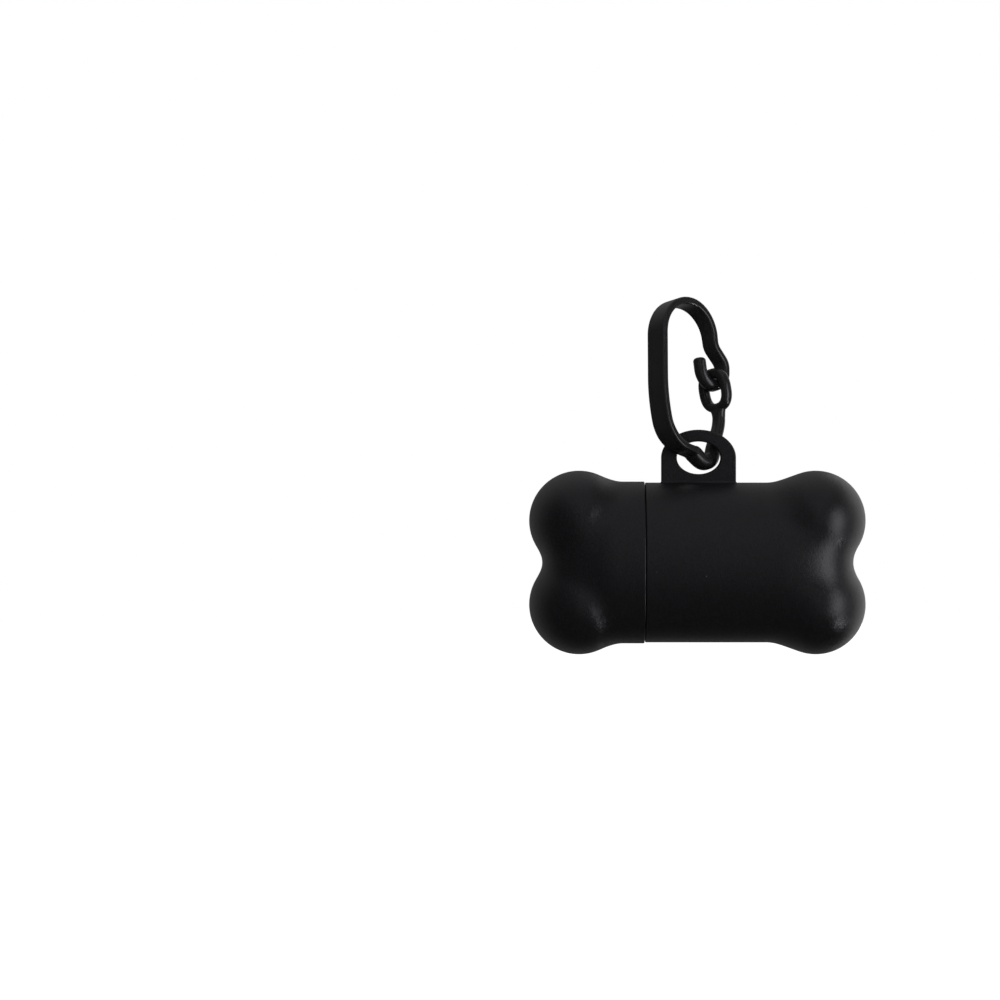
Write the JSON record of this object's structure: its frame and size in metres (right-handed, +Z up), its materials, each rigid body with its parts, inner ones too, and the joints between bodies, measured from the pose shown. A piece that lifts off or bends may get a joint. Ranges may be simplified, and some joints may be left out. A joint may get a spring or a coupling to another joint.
{
  "type": "pet waste bag dispenser",
  "caption": "Bone-shaped pocket dispenser for rolled pet waste bags, with a pull-off end cap, a bag slot in the back and a hook-and-ring strap clip for a leash.",
  "frame": {"origin": "the leash eye: the crown of the clip's top arch, on its inner face, where a leash or ring bears", "axes": "+Z up as the dispenser hangs, X along the bone with the cap at -X, +Y to the back, where the bag slot is"},
  "size_m": [0.0849, 0.0409, 0.0902],
  "materials": {
    "clip_plastic": "satin black moulded plastic",
    "case_plastic": "fine matte black moulded plastic",
    "cap_plastic": "fine matte black moulded plastic",
    "core_card": "plain brown card",
    "bag_film": "thin black film wound in a roll"
  },
  "bodies": {
    "clip_hook": {"clip_hook": "clip_plastic"},
    "clip_ring": {"clip_ring": "clip_plastic"},
    "case": {"case": "case_plastic"},
    "end_cap": {"end_cap": "cap_plastic"},
    "roll": {"roll_core": "core_card", "bag_roll": "bag_film"}
  },
  "joints": [
    {"name": "clip_squeeze", "type": "hinge", "parent": "clip_hook", "child": "clip_ring", "pos_m": [-0.00696, -0.01168, -0.0134], "axis": [0.7071, -0.6725, 0.2185], "range_deg": [0, 8], "stiffness_Nm_per_rad": 0.6},
    {"name": "case_swing", "type": "hinge", "parent": "clip_ring", "child": "case", "pos_m": [0.00332, -0.00915, -0.03863], "axis": [0.7071, 0.6725, -0.2185], "range_deg": [-8, 80]},
    {"name": "cap_pull", "type": "slide", "parent": "case", "child": "end_cap", "axis": [-1, 0, 0], "range_m": [0, 0.06]},
    {"name": "roll_spin", "type": "hinge", "parent": "case", "child": "roll", "pos_m": [0, -0.00865, -0.06581], "axis": [1, 0, 0], "continuous": true}
  ]
}
